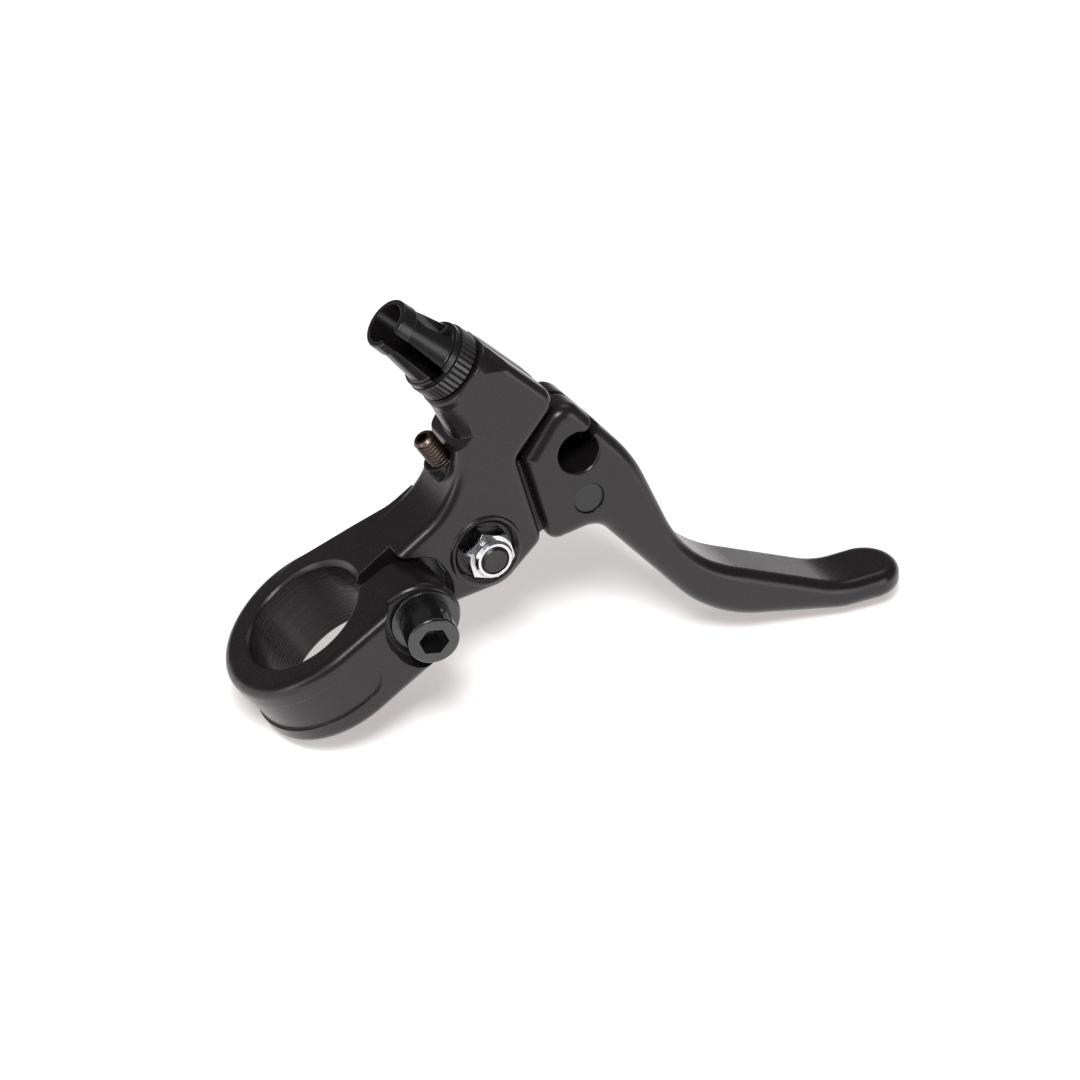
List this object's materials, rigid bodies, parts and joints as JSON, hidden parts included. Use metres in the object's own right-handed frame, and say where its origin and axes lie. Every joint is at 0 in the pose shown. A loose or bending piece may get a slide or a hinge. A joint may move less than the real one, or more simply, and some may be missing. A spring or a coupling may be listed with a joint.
{
  "type": "cable hand lever",
  "caption": "Short two-finger cable lever on a forked handlebar perch with a bar clamp, slotted barrel adjuster and reach screw.",
  "frame": {"origin": "centre of the handlebar bore in the clamp ring", "axes": "+X along the handlebar towards the blade's tip, +Y away from the handlebar, +Z along the lever's pivot towards the nut"},
  "size_m": [0.1151, 0.1051, 0.0383],
  "materials": {
    "satin_black_casting": "matte black coated aluminium",
    "gloss_black_aluminium": "gloss black anodised",
    "satin_black_aluminium": "satin black anodised",
    "gloss_black_steel": "gloss black coated steel",
    "satin_black_steel": "satin black coated steel",
    "dark_steel": "dark oxide",
    "chrome_steel": "bright plated",
    "zinc_steel": "dull plated",
    "nylon": "matte",
    "bush_polymer": "matte"
  },
  "bodies": {
    "perch": {"lever_bracket": "satin_black_casting", "pivot_bolt": "zinc_steel", "pivot_nut": "chrome_steel", "pivot_nut_insert": "nylon", "clamp_bolt": "gloss_black_steel", "clamp_washer": "gloss_black_steel"},
    "lever": {"lever_blade": "satin_black_casting", "lever_cross_pin": "satin_black_steel", "pivot_bush_nut_side": "bush_polymer", "pivot_bush_head_side": "bush_polymer"},
    "reach_screw": {"reach_screw": "dark_steel"},
    "lock_ring": {"barrel_lock_ring": "satin_black_aluminium"},
    "barrel": {"barrel_adjuster": "gloss_black_aluminium"}
  },
  "joints": [
    {"name": "lever_pivot", "type": "hinge", "parent": "perch", "child": "lever", "pos_m": [0.0032, 0.031, 0], "axis": [0, 0, 1], "range_deg": [-36, 0]},
    {"name": "reach_screw_travel", "type": "slide", "parent": "perch", "child": "reach_screw", "axis": [1, 0, 0], "range_m": [-0.003, 0]},
    {"name": "barrel_travel", "type": "slide", "parent": "perch", "child": "lock_ring", "axis": [-0.9694, -0.2453, 0], "range_m": [0, 0.004]},
    {"name": "barrel_turn", "type": "hinge", "parent": "lock_ring", "child": "barrel", "pos_m": [-0.0253, 0.04655, 0], "axis": [-0.9694, -0.2453, 0], "range_deg": [0, 1442]}
  ],
  "couplings": [
    {"joint": "barrel_turn", "follows": "barrel_travel", "rad_per_m": 6283.2}
  ]
}
